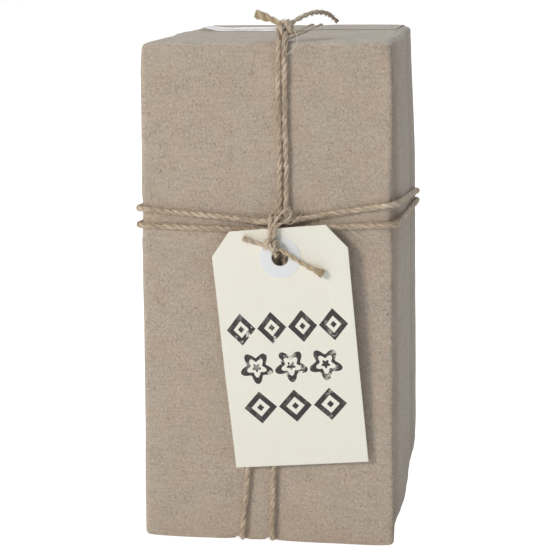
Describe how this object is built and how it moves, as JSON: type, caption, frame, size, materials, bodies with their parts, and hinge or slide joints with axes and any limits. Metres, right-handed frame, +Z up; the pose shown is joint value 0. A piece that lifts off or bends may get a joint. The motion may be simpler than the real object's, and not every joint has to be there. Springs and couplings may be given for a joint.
{
  "type": "paper wrapped parcel",
  "caption": "Tall sealed box wrapped in recycled kraft paper, tied both ways with jute twine, with a card gift tag strung to the crossing.",
  "frame": {"origin": "centre of the flat base", "axes": "+Z up along the parcel's long axis, -Y out of the front face that carries the tag, +X to the right seen from the front"},
  "size_m": [0.0938, 0.134, 0.1927],
  "materials": {
    "kraft_paper": "matt recycled kraft paper with fibre specks",
    "clear_tape": "clear glossy tape",
    "jute_twine": "hairy two-ply jute",
    "tag_card": "smooth cream card with worn black stamped ornaments",
    "ring_paper": "white paper"
  },
  "bodies": {
    "root": {"wrapped_pack": "kraft_paper", "top_end_tape": "clear_tape", "base_end_tape": "clear_tape", "back_seam_tape": "clear_tape", "parcel_twine": "jute_twine", "top_knot": "jute_twine", "knot_tail_left": "jute_twine", "knot_tail_right": "jute_twine", "gift_tag": "tag_card", "hole_ring": "ring_paper", "tag_string": "jute_twine", "tag_knot": "jute_twine", "tag_tail_left": "jute_twine", "tag_tail_right": "jute_twine"}
  },
  "joints": []
}
